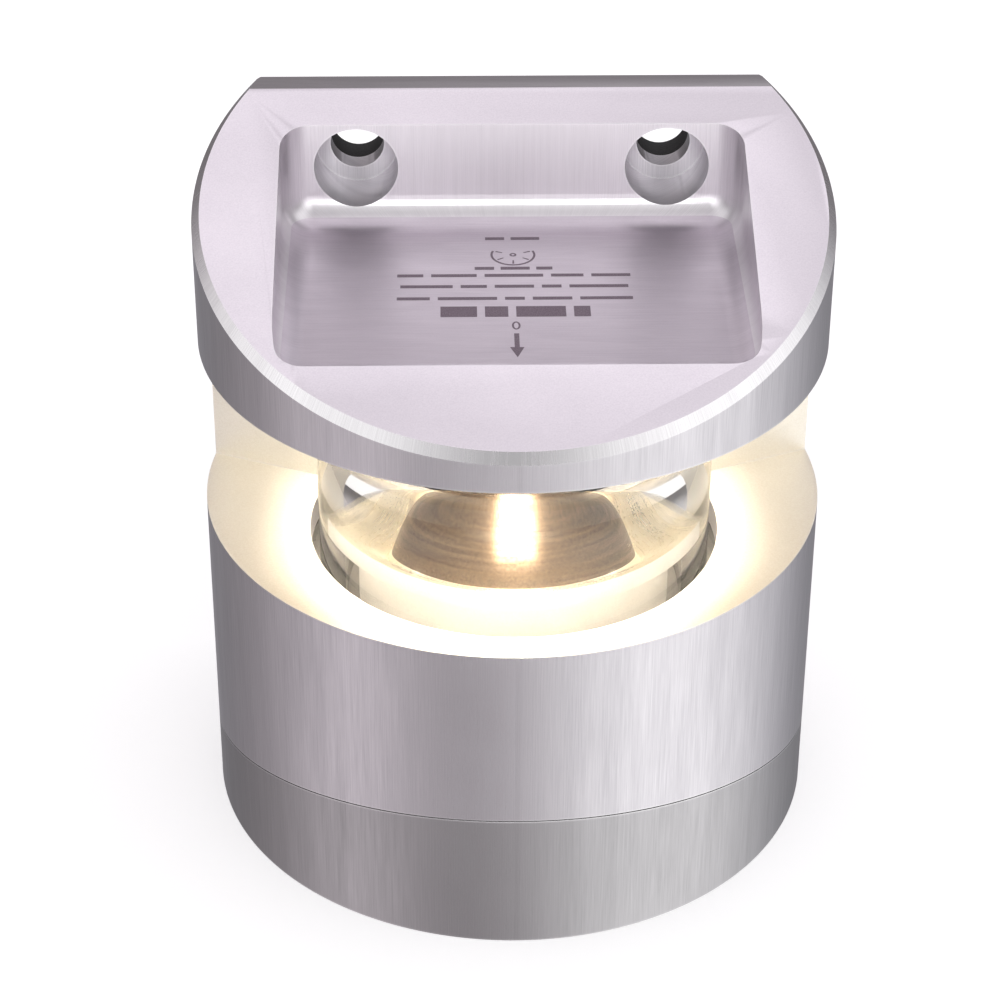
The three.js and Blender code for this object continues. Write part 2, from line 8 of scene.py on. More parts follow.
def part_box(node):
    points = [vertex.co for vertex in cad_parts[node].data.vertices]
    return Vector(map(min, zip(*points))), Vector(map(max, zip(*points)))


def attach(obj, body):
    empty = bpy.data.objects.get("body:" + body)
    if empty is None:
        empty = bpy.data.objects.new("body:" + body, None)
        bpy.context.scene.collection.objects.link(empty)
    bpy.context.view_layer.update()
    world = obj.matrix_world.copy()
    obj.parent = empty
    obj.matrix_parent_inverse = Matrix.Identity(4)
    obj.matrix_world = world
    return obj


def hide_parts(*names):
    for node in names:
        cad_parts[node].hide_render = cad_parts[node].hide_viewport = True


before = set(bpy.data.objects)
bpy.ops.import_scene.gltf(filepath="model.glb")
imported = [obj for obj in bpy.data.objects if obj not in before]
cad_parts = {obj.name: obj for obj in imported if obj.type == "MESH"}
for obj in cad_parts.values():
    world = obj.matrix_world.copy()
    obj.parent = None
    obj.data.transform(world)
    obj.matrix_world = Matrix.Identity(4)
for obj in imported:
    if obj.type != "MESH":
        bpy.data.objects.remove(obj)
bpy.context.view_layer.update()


# ---- Camera ----------------------------------------------------------------------------------
# A long lens a little over 40 cm in front of the light and 31 cm up, which looks down at it by
# nearly 33 degrees.

camera_place = (-0.0105, -0.4054, 0.3110)
camera_yaw, camera_pitch, camera_roll = 0.0211, 0.5705, 0.0042
camera_data = bpy.data.cameras.new("camera")
camera_data.sensor_width = 36
camera_data.lens = 107.25
camera = bpy.data.objects.new("camera", camera_data)
bpy.context.scene.collection.objects.link(camera)
camera.matrix_world = (
    Matrix.Translation(camera_place)
    @ Matrix.Rotation(-camera_yaw, 4, "Z")
    @ Matrix.Rotation(math.pi / 2 - camera_pitch, 4, "X")
    @ Matrix.Rotation(camera_roll, 4, "Z")
)
bpy.context.scene.camera = camera
bpy.context.scene.view_settings.view_transform = "Standard"


# ---- Studio ----------------------------------------------------------------------------------
# A pale floor under a soft white tent, which is brighter at the right and has a bright band dead
# ahead, and one soft box overhead.

floor_half = 6.0
floor_data = bpy.data.meshes.new("floor")
floor_data.from_pydata([
    (-floor_half, -floor_half, 0), (floor_half, -floor_half, 0),
    (floor_half, floor_half, 0), (-floor_half, floor_half, 0),
], [], [(0, 1, 2, 3)])
floor = bpy.data.objects.new("floor", floor_data)
bpy.context.scene.collection.objects.link(floor)
floor_look = bpy.data.materials.new("pale_floor")
floor_look.use_nodes = True
paper = floor_look.node_tree.nodes["Principled BSDF"]
paper.inputs["Base Color"].default_value = (0.9, 0.9, 0.9, 1)
paper.inputs["Roughness"].default_value = 0.9
paper.inputs["Emission Color"].default_value = (1, 1, 1, 1)
paper.inputs["Emission Strength"].default_value = 0.35
floor_data.materials.append(floor_look)
floor.visible_glossy = False

world = bpy.data.worlds.new("tent")
bpy.context.scene.world = world
world.use_nodes = True
tent = world.node_tree
tent.nodes.clear()
tent_strength = 4.0


def tent_node(kind, **settings):
    """A node of the tent, with its settings."""
    made = tent.nodes.new(f"ShaderNode{kind}")
    for name, value in settings.items():
        setattr(made, name, value)
    return made


def tent_ramp(factor, stops):
    """A brightness by compass angle: 0 is ahead, 90 to the right and 180 behind."""
    ramp = tent_node("ValToRGB")
    tent.links.new(factor, ramp.inputs[0])
    ramp.color_ramp.interpolation = "B_SPLINE"
    while len(ramp.color_ramp.elements) < len(stops):
        ramp.color_ramp.elements.new(0.5)
    for element, (angle, shade, tone) in zip(ramp.color_ramp.elements, stops):
        element.position = angle / 360 + 0.5
        element.color = (*(shade * part / tent_strength for part in tone), 1)
    return ramp.outputs["Color"]


# The compass angle of each direction, then the tent's brightness below, at and above the horizon.
rose, plain, cool = (1.03, 0.96, 1.0), (1.0, 1.0, 1.0), (0.98, 0.98, 1.04)
way = tent_node("TexCoord")
parts = tent_node("SeparateXYZ")
tent.links.new(way.outputs["Generated"], parts.inputs[0])
ahead = tent_node("Math", operation="MULTIPLY")
tent.links.new(parts.outputs["Y"], ahead.inputs[0])
ahead.inputs[1].default_value = -1
compass = tent_node("Math", operation="ARCTAN2")
tent.links.new(parts.outputs["X"], compass.inputs[0])
tent.links.new(ahead.outputs[0], compass.inputs[1])
turn_part = tent_node("MapRange")
turn_part.inputs["From Min"].default_value = -math.pi
turn_part.inputs["From Max"].default_value = math.pi
tent.links.new(compass.outputs[0], turn_part.inputs["Value"])
below = tent_ramp(turn_part.outputs[0], [
    (-180, 0.45, cool), (-150, 0.22, cool), (-120, 0.26, rose), (-90, 0.46, rose), (-62, 1.02, rose),
    (-42, 0.46, rose), (-18, 0.28, rose), (5, 0.46, rose), (28, 1.00, plain), (55, 1.50, plain),
    (88, 1.30, plain), (118, 0.50, cool), (150, 0.12, cool), (180, 0.40, cool),
])
above = tent_ramp(turn_part.outputs[0], [
    (-180, 0.36, rose), (-130, 0.70, rose), (-90, 1.05, plain), (-48, 1.10, plain), (-24, 0.70, plain),
    (0, 0.12, plain), (24, 0.85, plain), (50, 1.25, plain), (95, 1.25, plain), (130, 0.70, cool),
    (180, 0.36, rose),
])
level = tent_ramp(turn_part.outputs[0], [
    (-180, 0.20, rose), (-100, 0.12, rose), (-58, 0.08, rose), (-38, 0.3, plain), (-22, 2.5, plain),
    (0, 4.0, plain), (22, 2.5, plain), (38, 0.3, plain), (58, 0.08, rose), (100, 0.12, rose),
    (180, 0.20, rose),
])
zenith = tent_node("RGB")
zenith.outputs[0].default_value = (*(shade / tent_strength for shade in (0.92, 0.88, 0.92)), 1)


def tent_blend(height_from, height_to, low, high):
    """Goes from one brightness to another with height, from -1 straight down to 1 straight up."""
    lift = tent_node("MapRange", interpolation_type="SMOOTHSTEP")
    lift.inputs["From Min"].default_value = height_from
    lift.inputs["From Max"].default_value = height_to
    tent.links.new(parts.outputs["Z"], lift.inputs["Value"])
    mix = tent_node("Mix", data_type="RGBA")
    tent.links.new(lift.outputs[0], mix.inputs["Factor"])
    tent.links.new(low, mix.inputs["A"])
    tent.links.new(high, mix.inputs["B"])
    return mix.outputs["Result"]


sides = tent_blend(0.10, 0.50, tent_blend(-0.42, -0.10, below, level), above)
glow = tent_node("Background")
tent.links.new(tent_blend(0.68, 0.94, sides, zenith.outputs[0]), glow.inputs["Color"])
glow.inputs["Strength"].default_value = tent_strength
tent_out = tent_node("OutputWorld")
tent.links.new(glow.outputs[0], tent_out.inputs["Surface"])


def soft_box(name, place, aim, size, watts, colour=(1, 1, 1)):
    """A rectangular lamp that shines from its place towards another."""
    data = bpy.data.lights.new(name, "AREA")
    data.shape = "RECTANGLE"
    data.size, data.size_y = size
    data.energy = watts
    data.color = colour
    lamp = bpy.data.objects.new(name, data)
    bpy.context.scene.collection.objects.link(lamp)
    lamp.location = place
    lamp.rotation_euler = (Vector(aim) - Vector(place)).to_track_quat("-Z", "Y").to_euler()
    return lamp


soft_box("overhead_box", place=(0.1, 0.35, 0.9), aim=(0, 0, 0.1), size=(0.8, 0.6), watts=0.6)


# ---- Housing ---------------------------------------------------------------------------------
# The plate, neck and base are one piece, milled and bored from round aluminium bar. The flat
# side goes against the mast, and the pocket in the slanted top takes the two mounting screws.

mm = 0.001
housing_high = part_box("housing")[1]
body_r = housing_high.x
back_y = housing_high.y
top_z = housing_high.z
top_slope = math.tan(math.radians(17.5))
top_axis_z = 104.6 * mm
rim_chamfer = 1.2 * mm
plate_z = 83.3 * mm
deck_z = 54.6 * mm
deck_under_z = 49.6 * mm
seam_slope = -math.tan(math.radians(15))
seam_axis_z = 10.7 * mm
seam_gap = 0.16 * mm
optic_y = -11 * mm
edge_break = 0.25 * mm
far = 0.2  # beyond the whole light, for cutters that run out of it


def new_piece(name, mesh):
    """A new object of the assembly, with this mesh."""
    piece = bpy.data.objects.new(name, mesh)
    bpy.context.scene.collection.objects.link(piece)
    return piece


def from_bmesh(name, form):
    """A new object from a form, with its faces turned outwards."""
    bmesh.ops.recalc_face_normals(form, faces=form.faces)
    mesh = bpy.data.meshes.new(name)
    form.to_mesh(mesh)
    form.free()
    return new_piece(name, mesh)


def loft(name, loops, close=False):
    """Joins loops of equal length with quads, and caps the ends unless the last meets the first."""
    form = bmesh.new()
    rows = [[form.verts.new(point) for point in loop] for loop in loops]
    count = len(rows[0])
    pairs = list(zip(rows, rows[1:] + rows[:1])) if close else list(zip(rows, rows[1:]))
    for low, high in pairs:
        for i in range(count):
            j = (i + 1) % count
            form.faces.new((low[i], low[j], high[j], high[i]))
    if not close:
        form.faces.new(rows[0])
        form.faces.new(rows[-1])
    return from_bmesh(name, form)


def circle(radius, z, y=0.0, x=0.0, sides=160):
    """The corners of a level many-sided circle."""
    turn = 2 * math.pi / sides
    return [(x + radius * math.cos(i * turn), y + radius * math.sin(i * turn), z) for i in range(sides)]


def turned(name, profile, y=0.0, x=0.0, sides=160):
    """A solid turned about an upright axis, from the radius and height of each step."""
    return loft(name, [circle(r, z, y, x, sides) for r, z in profile])


def lying(piece, x, z):
    """Lays a piece turned about the origin along Y, at this place across and up."""
    piece.data.transform(Matrix.Translation((x, 0, z)) @ Matrix.Rotation(-math.pi / 2, 4, "X"))
    return piece


def slab(name, low, high):
    """A block between two corners."""
    corners = [(low[0], low[1]), (high[0], low[1]), (high[0], high[1]), (low[0], high[1])]
    return loft(name, [[(x, y, z) for x, y in corners] for z in (low[2], high[2])])


def apply_modifiers(piece):
    """Makes the piece's modifiers part of its mesh."""
    graph = bpy.context.evaluated_depsgraph_get()
    mesh = bpy.data.meshes.new_from_object(piece.evaluated_get(graph))
    piece.modifiers.clear()
    piece.data = mesh
    mesh.name = piece.name


def cut(piece, *cutters, join=False):
    """Cuts each cutter out of the piece, or joins it on, and throws the cutter away."""
    for cutter in cutters:
        step = piece.modifiers.new("cut", "BOOLEAN")
        step.operation = "UNION" if join else "DIFFERENCE"
        step.solver = "EXACT"
        step.object = cutter
        apply_modifiers(piece)
        bpy.data.objects.remove(cutter)
    return piece


def break_edges(piece, width, segments=2, angle=32):
    """Rounds the sharp edges a little, as deburring does, and keeps flat faces flat."""
    round_off = piece.modifiers.new("edge break", "BEVEL")
    round_off.width = width
    round_off.segments = segments
    round_off.limit_method = "ANGLE"
    round_off.angle_limit = math.radians(angle)
    round_off.harden_normals = False
    round_off.use_clamp_overlap = True
    for face in piece.data.polygons:
        face.use_smooth = True
    apply_modifiers(piece)
    for face in piece.data.polygons:
        face.use_smooth = len(face.vertices) < 9  # the large flat faces have more corners
    piece.data.set_sharp_from_angle(angle=math.radians(40))
    even = piece.modifiers.new("flat faces", "WEIGHTED_NORMAL")
    even.keep_sharp = True
    even.weight = 60
    return piece


def body_outline(radius, arc_steps=200):
    """The round outline with its flat side, from the right back corner round the front."""
    corner = math.asin(back_y / radius)
    sweep = math.pi + 2 * corner
    points = []
    for i in range(arc_steps + 1):
        angle = corner - sweep * i / arc_steps
        points.append((radius * math.cos(angle), radius * math.sin(angle)))
    points[0] = (points[0][0], back_y)
    points[-1] = (points[-1][0], back_y)
    return points


def sloped(outline, z, slope):
    """The outline at a height that rises towards the back by the slope."""
    return [(x, y, z + slope * y) for x, y in outline]


def rounded_rectangle(x0, x1, y0, y1, radius, steps=8):
    """The corners of a rectangle between these limits, with rounded corners."""
    points = []
    for cx, cy, start in ((x1 - radius, y0 + radius, -90), (x1 - radius, y1 - radius, 0),
                          (x0 + radius, y1 - radius, 90), (x0 + radius, y0 + radius, 180)):
        for i in range(steps + 1):
            angle = math.radians(start + 90 * i / steps)
            points.append((cx + radius * math.cos(angle), cy + radius * math.sin(angle)))
    return points


housing = loft("housing_body", [
    sloped(body_outline(body_r), seam_axis_z + seam_gap / 2, seam_slope),
    sloped(body_outline(body_r), top_axis_z - rim_chamfer, top_slope),
    sloped(body_outline(body_r - rim_chamfer), top_axis_z, top_slope),
])

# The level land at the back of the sloping top.
cut(housing, slab("land", (-far, -far, top_z), (far, far, far)))

# The open sector, 22.5 degrees behind the beam on each side.
screen_slope = math.tan(math.radians(22.5))
sector = [(0, optic_y), (-far, optic_y + screen_slope * far), (-far, -far), (far, -far),
          (far, optic_y + screen_slope * far)]
cut(housing, loft("sector", [[(x, y, z) for x, y in sector] for z in (deck_z, plate_z)]))

# The pocket: the ball-nosed cutter leaves its radius in the corners and along the floor.
pocket_x, pocket_front, pocket_rear = 36 * mm, -33.2 * mm, 16.4 * mm
pocket_z = 93 * mm
cutter_r = 4.7 * mm
fillet_steps = 8
fillet_reach = 0.99  # a little under 1, so that the floor's corners keep some radius
pocket_loops = []
for i in range(fillet_steps + 1):
    lean = math.pi / 2 * i / fillet_steps
    inset = cutter_r * (1 - math.sin(lean)) * fillet_reach
    pocket_loops.append([
        (x, y, pocket_z + cutter_r * (1 - math.cos(lean)))
        for x, y in rounded_rectangle(-pocket_x + inset, pocket_x - inset, pocket_front + inset,
                                      pocket_rear - inset, cutter_r - inset)
    ])
pocket_loops.append([(x, y, far) for x, y, _ in pocket_loops[-1]])
cut(housing, loft("pocket", pocket_loops))

# Two counterbored holes for the mounting screws, from inside the pocket out through the back.
screw_x, screw_z = 24.4 * mm, 102.4 * mm
head_r, shank_r, seat_y = 6.6 * mm, 4.25 * mm, 25.4 * mm
hole_start_y, hole_end_y = 10 * mm, 40 * mm
for side in (-1, 1):
    profile = [(head_r, hole_start_y), (head_r, seat_y), (shank_r, seat_y), (shank_r, hole_end_y)]
    cut(housing, lying(turned("screw_hole", profile, sides=96), side * screw_x, screw_z))

# Bored from below about the optic's axis: cavity, lens bore with a chamfered mouth, lens seat,
# board seat and the hole for the horn's screw. The bores overlap where they meet.
bore_r, cavity_r = 32.1 * mm, 34.5 * mm
mouth, mouth_clear, overlap = 0.7 * mm, 0.2 * mm, 1 * mm
lens_seat_r, lens_seat_z = 31.2 * mm, 85.6 * mm
board_seat_r, board_seat_z = 25.2 * mm, 88.2 * mm
horn_screw_r, horn_screw_z = 2.8 * mm, 90.8 * mm
below_z = -10 * mm
cut(housing, turned("cavity", [(cavity_r, below_z), (cavity_r, deck_under_z)], y=optic_y))
cut(housing, turned("lens_bore", [
    (bore_r, deck_under_z - overlap), (bore_r, deck_z - mouth), (bore_r + mouth, deck_z),
    (bore_r + mouth, deck_z + mouth_clear), (bore_r, deck_z + mouth_clear), (bore_r, plate_z),
], y=optic_y))
cut(housing, turned("lens_seat", [
    (lens_seat_r, plate_z - overlap), (lens_seat_r, lens_seat_z), (board_seat_r, lens_seat_z),
    (board_seat_r, board_seat_z), (horn_screw_r, board_seat_z), (horn_screw_r, horn_screw_z),
], y=optic_y))

# The cable entry, and a flat for the gland's nut inside.
entry_r, entry_z = 5.3 * mm, 34.5 * mm
nut_flat_r, nut_flat_y = 8.5 * mm, 23.9 * mm
profile = [(nut_flat_r, hole_start_y), (nut_flat_r, nut_flat_y), (entry_r, nut_flat_y),
           (entry_r, hole_end_y)]
cut(housing, lying(turned("cable_entry", profile, sides=96), 0, entry_z))

# The holes for the four screws that hold the bottom cover.
cover_screws = [(-41 * mm, -11 * mm), (41 * mm, -11 * mm), (-33 * mm, 20.5 * mm), (33 * mm, 20.5 * mm)]
cover_hole_r, cover_hole_top_z = 2.3 * mm, 18 * mm
for x, y in cover_screws:
    profile = [(cover_hole_r, below_z), (cover_hole_r, cover_hole_top_z)]
    cut(housing, turned("tapped_hole", profile, y=y, x=x, sides=32))
break_edges(housing, edge_break)


def new_group(name, inputs, outputs):
    """A shader node group, its input and output nodes, and its own links."""
    group = bpy.data.node_groups.new(name, "ShaderNodeTree")
    for label, value in inputs.items():
        kind = "NodeSocketVector" if isinstance(value, tuple) else "NodeSocketFloat"
        socket = group.interface.new_socket(label, in_out="INPUT", socket_type=kind)
        socket.default_value = value
    for label, kind in outputs.items():
        group.interface.new_socket(label, in_out="OUTPUT", socket_type=f"NodeSocket{kind}")
    return group, group.nodes.new("NodeGroupInput"), group.nodes.new("NodeGroupOutput")


def node(tree, kind, *links, **settings):
    """A node of this kind, with its settings, its inputs by place or value, and its links."""
    made = tree.nodes.new(f"ShaderNode{kind}")
    for name, value in settings.items():
        setattr(made, name, value)
    for socket, source in links:
        if isinstance(source, bpy.types.NodeSocket):
            tree.links.new(source, made.inputs[socket])
        else:
            made.inputs[socket].default_value = source
    return made


def maths(tree, operation, a, b=0.0, c=0.0):
    """One step of arithmetic on up to three values."""
    return node(tree, "Math", (0, a), (1, b), (2, c), operation=operation).outputs[0]


# Fine upright lines round a turned and brushed wall, wavering along their length.
wall_grain, given, result = new_group(
    "wall_grain", {"Line Width": 0.00022, "Line Length": 0.012, "Radius": 0.049},
    {"Lines": "Float", "Streaks": "Float"},
)
place = node(wall_grain, "TexCoord").outputs["Object"]
split = node(wall_grain, "SeparateXYZ", (0, place))
angle = maths(wall_grain, "ARCTAN2", split.outputs["X"], split.outputs["Y"])
round_way = maths(wall_grain, "MULTIPLY", angle, given.outputs["Radius"])
lines = node(wall_grain, "CombineXYZ",
             (0, maths(wall_grain, "DIVIDE", round_way, given.outputs["Line Width"])),
             (2, maths(wall_grain, "DIVIDE", split.outputs["Z"], given.outputs["Line Length"])))
fine = node(wall_grain, "TexNoise", ("Vector", lines.outputs[0]), ("Scale", 1.0), ("Detail", 3.0),
            ("Roughness", 0.7))
wide = node(wall_grain, "VectorMath", (0, lines.outputs[0]), (1, (0.07, 1, 0.35)), operation="MULTIPLY")
streaks = node(wall_grain, "TexNoise", ("Vector", wide.outputs[0]), ("Scale", 1.0), ("Detail", 2.0))
wall_grain.links.new(fine.outputs["Fac"], result.inputs["Lines"])
wall_grain.links.new(streaks.outputs["Fac"], result.inputs["Streaks"])

# The fine speckle of bead blasting, over a faint cloudiness of the anodising.
blasted_grain, given, result = new_group(
    "blasted_grain", {"Grain Size": 0.0003, "Cloud Size": 0.03}, {"Grain": "Float", "Clouds": "Float"}
)
place = node(blasted_grain, "TexCoord").outputs["Object"]
grain_scale = maths(blasted_grain, "DIVIDE", 1.0, given.outputs["Grain Size"])
cloud_scale = maths(blasted_grain, "DIVIDE", 1.0, given.outputs["Cloud Size"])
grain = node(blasted_grain, "TexNoise", ("Vector", place), ("Scale", grain_scale), ("Detail", 2.0))
clouds = node(blasted_grain, "TexNoise", ("Vector", place), ("Scale", cloud_scale), ("Detail", 3.0))
blasted_grain.links.new(grain.outputs["Fac"], result.inputs["Grain"])
blasted_grain.links.new(clouds.outputs["Fac"], result.inputs["Clouds"])

# Marks of a milling cutter that went across in overlapping passes.
cutter_marks, given, result = new_group(
    "cutter_marks", {"Pass Width": 0.004, "Mark Length": 0.018}, {"Marks": "Float", "Lines": "Float"}
)
place = node(cutter_marks, "TexCoord").outputs["Object"]
split = node(cutter_marks, "SeparateXYZ", (0, place))
long_way = maths(cutter_marks, "DIVIDE", split.outputs["X"], given.outputs["Mark Length"])
cross_way = maths(cutter_marks, "DIVIDE", split.outputs["Y"], given.outputs["Pass Width"])
passes = node(cutter_marks, "CombineXYZ", (0, long_way), (1, cross_way))
smear = node(cutter_marks, "TexNoise", ("Vector", passes.outputs[0]), ("Scale", 1.0), ("Detail", 4.0),
             ("Roughness", 0.55), ("Distortion", 0.6))
hair = node(cutter_marks, "VectorMath", (0, passes.outputs[0]), (1, (1.5, 14, 1)), operation="MULTIPLY")
hairs = node(cutter_marks, "TexNoise", ("Vector", hair.outputs[0]), ("Scale", 1.0), ("Detail", 2.0))
cutter_marks.links.new(smear.outputs["Fac"], result.inputs["Marks"])
cutter_marks.links.new(hairs.outputs["Fac"], result.inputs["Lines"])

# A worn, brighter line along edges, from how far the rounded normal leaves the real one.
edge_wear, given, result = new_group(
    "edge_wear", {"Width": 0.0006, "Amount": 1.0}, {"Wear": "Float"}
)
bent = node(edge_wear, "Bevel", ("Radius", given.outputs["Width"]), samples=4)
true_way = node(edge_wear, "NewGeometry")
likeness = node(edge_wear, "VectorMath", (0, bent.outputs[0]), (1, true_way.outputs["Normal"]),
                operation="DOT_PRODUCT")
leaving = maths(edge_wear, "SUBTRACT", 1.0, likeness.outputs["Value"])
wear = node(edge_wear, "MapRange", ("Value", leaving), ("From Min", 0.01), ("From Max", 0.2),
            ("To Max", given.outputs["Amount"]))
edge_wear.links.new(wear.outputs[0], result.inputs["Wear"])


def use(tree, group, **values):
    """Places a node group in a material, with its values."""
    made = tree.nodes.new("ShaderNodeGroup")
    made.node_tree = group
    for name, value in values.items():
        made.inputs[name.replace("_", " ")].default_value = value
    return made.outputs


def spread(tree, value, low, high):
    """Maps a noise's middle range to these limits."""
    return node(tree, "MapRange", ("Value", value), ("From Min", 0.3), ("From Max", 0.7),
                ("To Min", low), ("To Max", high)).outputs[0]


def tint(tree, factor, dark, light):
    """A colour between two, by a factor."""
    mix = node(tree, "Mix", (0, factor), data_type="RGBA")
    mix.inputs["A"].default_value = (*dark, 1)
    mix.inputs["B"].default_value = (*light, 1)
    return mix.outputs["Result"]


def new_material(name, **settings):
    """A material with a Principled shader and its plain values."""
    look = bpy.data.materials.new(name)
    look.use_nodes = True
    shader = look.node_tree.nodes["Principled BSDF"]
    for label, value in settings.items():
        shader.inputs[label.replace("_", " ")].default_value = value
    return look, look.node_tree, shader


def blend(tree, a, b, share):
    """A share of one pattern with the rest of another."""
    return maths(tree, "MULTIPLY_ADD", a, share, maths(tree, "MULTIPLY", b, 1 - share))


def bump(tree, shader, height, depth):
    """Feeds the shader's normal from a height, in metres at its full range."""
    made = node(tree, "Bump", ("Height", height), ("Distance", depth), ("Strength", 1.0))
    tree.links.new(made.outputs[0], shader.inputs["Normal"])


def worn_colour(tree, shader, colour, amount, bright):
    """Feeds the shader's colour, with a brighter one where the edges are worn."""
    worn = use(tree, edge_wear, Amount=amount)["Wear"]
    mix = node(tree, "Mix", (0, worn), data_type="RGBA")
    tree.links.new(colour, mix.inputs["A"])
    mix.inputs["B"].default_value = (*bright, 1)
    tree.links.new(mix.outputs["Result"], shader.inputs["Base Color"])


def wall_metal(name, dark, light, rough):
    """Anodised aluminium with an upright grain."""
    look, tree, shader = new_material(name, Metallic=1.0)
    grain = use(tree, wall_grain)
    clouds = use(tree, blasted_grain, Grain_Size=0.00012, Cloud_Size=0.02)["Clouds"]
    lines = blend(tree, grain["Lines"], grain["Streaks"], 0.65)
    colour = tint(tree, spread(tree, lines, 0.0, 1.0), dark, light)
    worn_colour(tree, shader, colour, 0.8, (0.93, 0.92, 0.93))
    base = spread(tree, lines, rough + 0.07, rough - 0.07)
    cloudy = maths(tree, "MULTIPLY_ADD", clouds, 0.08, maths(tree, "SUBTRACT", base, 0.04))
    tree.links.new(cloudy, shader.inputs["Roughness"])
    bump(tree, shader, lines, 0.000012)
    return look


def blasted_metal(name, dark, light, rough, metal=1.0):
    """Anodised aluminium with the fine matte skin of bead blasting."""
    look, tree, shader = new_material(name, Metallic=metal)
    grain = use(tree, blasted_grain, Grain_Size=0.00025, Cloud_Size=0.022)
    mixed = blend(tree, grain["Grain"], grain["Clouds"], 0.6)
    colour = tint(tree, spread(tree, mixed, 0.0, 1.0), dark, light)
    worn_colour(tree, shader, colour, 0.5, (0.95, 0.94, 0.95))
    tree.links.new(spread(tree, mixed, rough + 0.06, rough - 0.06), shader.inputs["Roughness"])
    bump(tree, shader, grain["Grain"], 0.00001)
    return look


def milled_metal(name, dark, light, rough):
    """Anodised aluminium as the cutter left it, with the marks of its passes."""
    look, tree, shader = new_material(name, Metallic=1.0)
    marks = use(tree, cutter_marks)
    grain = use(tree, blasted_grain, Grain_Size=0.0003, Cloud_Size=0.016)
    hairs = maths(tree, "MULTIPLY", marks["Lines"], 0.3)
    mixed = maths(tree, "MULTIPLY_ADD", marks["Marks"], 0.55, hairs)
    mixed = maths(tree, "MULTIPLY_ADD", grain["Grain"], 0.15, mixed)
    colour = tint(tree, spread(tree, mixed, 0.0, 1.0), dark, light)
    tree.links.new(colour, shader.inputs["Base Color"])
    tree.links.new(spread(tree, mixed, rough + 0.08, rough - 0.06), shader.inputs["Roughness"])
    bump(tree, shader, mixed, 0.00002)
    return look


housing_looks = {
    "wall": wall_metal("anodised_wall", (0.58, 0.56, 0.59), (0.78, 0.755, 0.785), 0.36),
    "top": blasted_metal("blasted_top", (0.80, 0.755, 0.81), (0.90, 0.85, 0.905), 0.5),
    "pocket_floor": milled_metal("milled_pocket", (0.62, 0.565, 0.625), (0.76, 0.70, 0.765), 0.42),
    # The deck's bead-blasted grain is real, and its cream colour is painted warm light from the LEDs.
    "deck": blasted_metal("turned_deck_painted_warm_light", (0.84, 0.79, 0.70), (0.92, 0.88, 0.80), 0.5, metal=0.8),
    # The level land's dark colour is painted shade, for the darker surroundings it reflects; its milled
    # marks are real.
    "land": milled_metal("milled_land_painted_shade", (0.34, 0.32, 0.335), (0.46, 0.44, 0.455), 0.4),
    "pocket_wall": wall_metal("pocket_wall", (0.70, 0.67, 0.70), (0.88, 0.85, 0.88), 0.4),
    # The rim's light colour is a painted highlight along the chamfer; its grain is real.
    "rim": wall_metal("milled_rim_painted_highlight", (0.80, 0.78, 0.80), (0.96, 0.94, 0.96), 0.24),
}
near = 0.1 * mm
rim_width = 1.15 * mm
floor_below, floor_above = 1 * mm, 1.5 * mm
inside_edge = 1 * mm  # faces this far inside the outline belong to the open sector


def housing_zone(face):
    """Which finish a face of the housing has, by where it lies and faces."""
    x, y, z = face.center
    from_axis = math.hypot(x, y)
    on_top = z > min(top_z, top_axis_z + top_slope * y) - near / 2
    in_pocket = abs(x) < pocket_x + near and pocket_front - near < y < pocket_rear + near
    if on_top and face.normal.z > 0.8:
        return "land" if z > top_z - near / 10 else "top"
    if z > plate_z and from_axis > body_r - rim_width and 0.3 < face.normal.z < 0.95:
        return "rim"
    if in_pocket and z > pocket_z - floor_below:
        return "pocket_floor" if z < pocket_z + floor_above else "pocket_wall"
    in_sector = deck_z - 0.8 * mm < z < plate_z + 1 * mm
    if in_sector and from_axis < body_r - inside_edge and y < back_y - inside_edge:
        return "deck"
    return "wall"


for look in housing_looks.values():
    housing.data.materials.append(look)
zones = list(housing_looks)
for face in housing.data.polygons:
    face.material_index = zones.index(housing_zone(face))
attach(housing, "root")
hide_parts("housing")


# ---- Marks in the pocket ---------------------------------------------------------------------
# Dark laser marks on the pocket's floor, read from the mast side: an arrow and a zero for dead
# ahead, the light's 225-degree sector with its ticks, and plain bars in place of any wording.

mark_form = bmesh.new()
mark_sunk, mark_proud = 0.01, 0.02


def mark(*outline):
    """A thin flat mark with this outline, in millimetres on the pocket's floor."""
    low, high = ([mark_form.verts.new((x * mm, y * mm, pocket_z + lift * mm)) for x, y in outline]
                 for lift in (-mark_sunk, mark_proud))
    for i in range(len(outline)):
        j = (i + 1) % len(outline)
        mark_form.faces.new((low[i], low[j], high[j], high[i]))
    mark_form.faces.new(low)
    mark_form.faces.new(high)


def mark_arc(x, y, across, along, width, start, end, steps):
    """An arc of an ellipse, from short straight marks; 0 degrees is dead ahead."""
    turn = math.radians(end - start) / steps
    for i in range(steps):
        a = math.radians(start) + i * turn
        mark(*(
            (x + (across - inwards) * math.sin(at), y - (along - inwards) * math.cos(at))
            for inwards, at in ((0, a), (0, a + turn), (width, a + turn), (width, a))
        ))


def mark_row(y, height, words, space=1.2):
    """A row of plain bars of these lengths, centred across the floor."""
    x = -(sum(words) + space * (len(words) - 1)) / 2
    low, high = y - height / 2, y + height / 2
    for length in words:
        mark((x, low), (x + length, low), (x + length, high), (x, high))
        x += length + space


# The arrow and its zero, in millimetres.
shaft_x, head_x = 0.375, 1.05
arrow_rear, arrow_neck, arrow_tip = -20, -24.1, -27.1
mark((-shaft_x, arrow_rear), (shaft_x, arrow_rear), (shaft_x, arrow_neck), (head_x, arrow_neck),
     (0, arrow_tip), (-head_x, arrow_neck), (-shaft_x, arrow_neck))
mark_arc(0, -17.6, across=0.65, along=1.2, width=0.3, start=0, end=360, steps=20)

